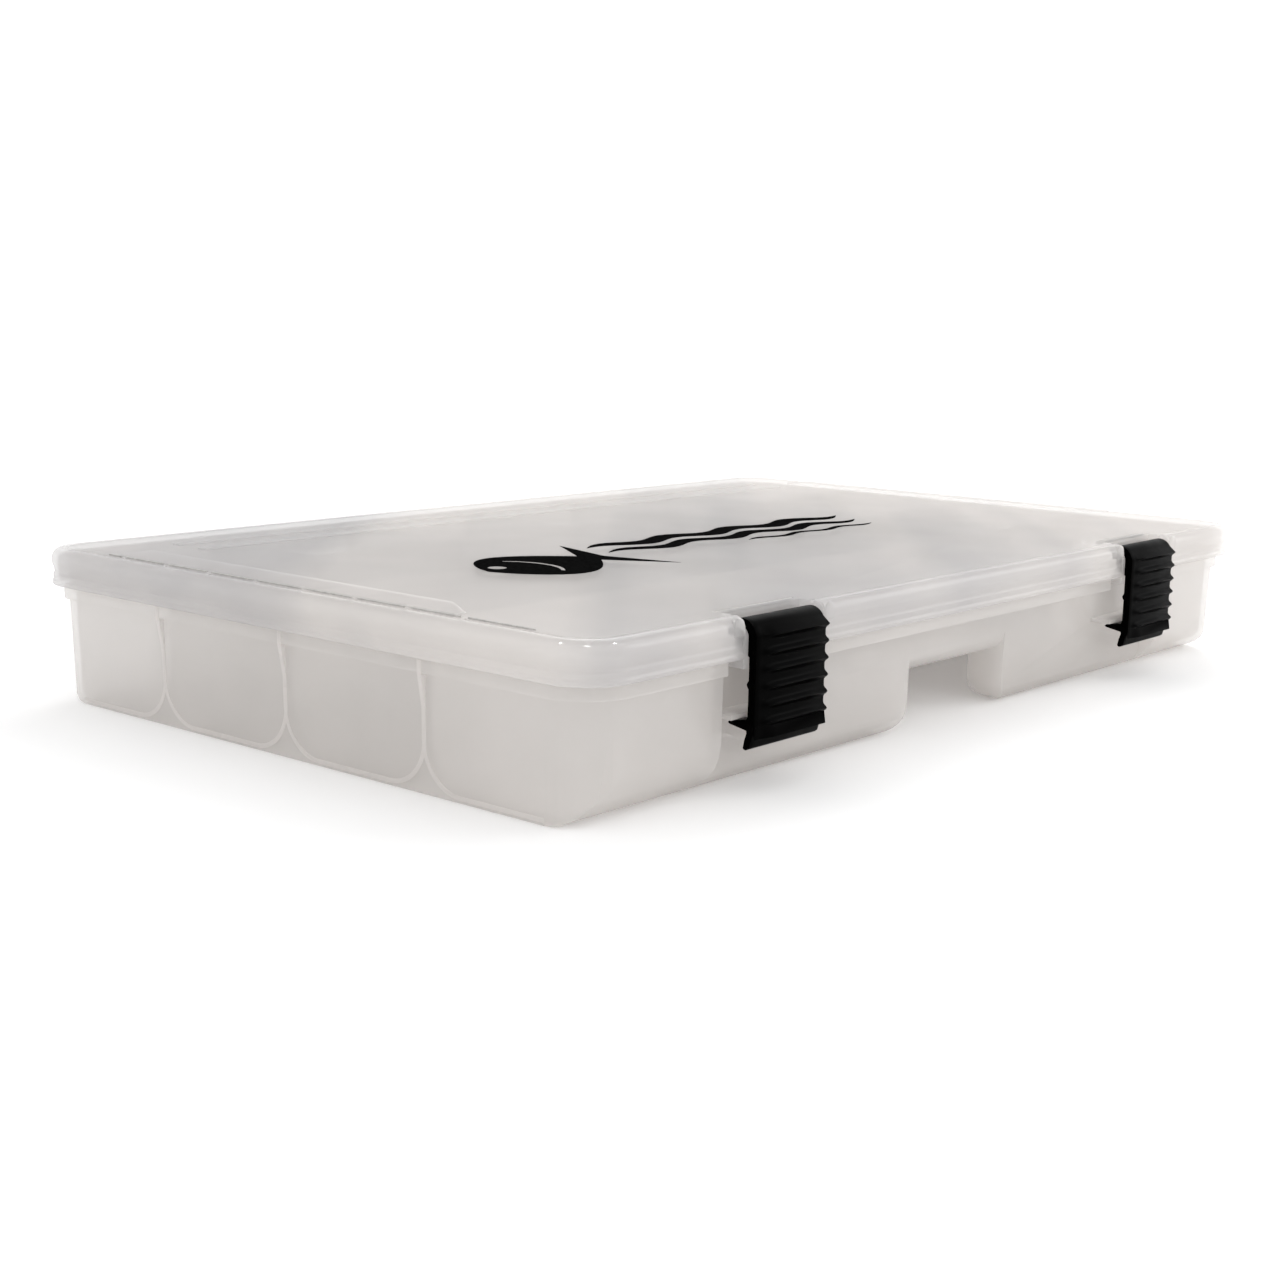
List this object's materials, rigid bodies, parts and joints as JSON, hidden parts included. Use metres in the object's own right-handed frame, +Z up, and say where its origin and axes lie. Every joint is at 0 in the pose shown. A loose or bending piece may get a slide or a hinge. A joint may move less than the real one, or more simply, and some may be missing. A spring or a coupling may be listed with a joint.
{
  "type": "fishing tackle box",
  "caption": "Flat translucent compartment case with a hinged lid, front swing latches, lanes with round bottoms and loose dividers.",
  "frame": {"origin": "under the centre of the closed case, on the surface that it stands on", "axes": "+X to the right along the case's length, -Y to the front where the latches are, +Z up"},
  "size_m": [0.357, 0.235, 0.0475],
  "materials": {
    "clear_plastic": "translucent polypropylene, satin",
    "divider_plastic": "translucent polypropylene, satin",
    "latch_plastic": "black moulded plastic, low sheen",
    "print_ink": "printed black ink on the lid",
    "pin_steel": "drawn stainless wire"
  },
  "bodies": {
    "base": {"base_tray": "clear_plastic", "hinge_pin_left": "pin_steel", "hinge_pin_centre": "pin_steel", "hinge_pin_right": "pin_steel", "divider_front_left": "divider_plastic", "divider_front_right": "divider_plastic", "divider_mid_front_far_left": "divider_plastic", "divider_mid_front_left": "divider_plastic", "divider_mid_front_centre": "divider_plastic", "divider_mid_front_right": "divider_plastic", "divider_mid_front_far_right": "divider_plastic", "divider_mid_back_far_left": "divider_plastic", "divider_mid_back_left": "divider_plastic", "divider_mid_back_centre": "divider_plastic", "divider_mid_back_right": "divider_plastic", "divider_mid_back_far_right": "divider_plastic", "divider_back_far_left": "divider_plastic", "divider_back_left": "divider_plastic", "divider_back_centre": "divider_plastic", "divider_back_right": "divider_plastic", "divider_back_far_right": "divider_plastic"},
    "lid": {"lid": "clear_plastic"},
    "latch_left": {"latch_left": "latch_plastic"},
    "latch_right": {"latch_right": "latch_plastic"}
  },
  "joints": [
    {"name": "lid_hinge", "type": "hinge", "parent": "base", "child": "lid", "pos_m": [0, 0.1149, 0.0326], "axis": [-1, 0, 0], "range_deg": [0, 180]},
    {"name": "latch_left_pivot", "type": "hinge", "parent": "lid", "child": "latch_left", "pos_m": [-0.1032, -0.1112, 0.0414], "axis": [-1, 0, 0], "range_deg": [0, 110]},
    {"name": "latch_right_pivot", "type": "hinge", "parent": "lid", "child": "latch_right", "pos_m": [0.1032, -0.1112, 0.0414], "axis": [-1, 0, 0], "range_deg": [0, 110]}
  ]
}
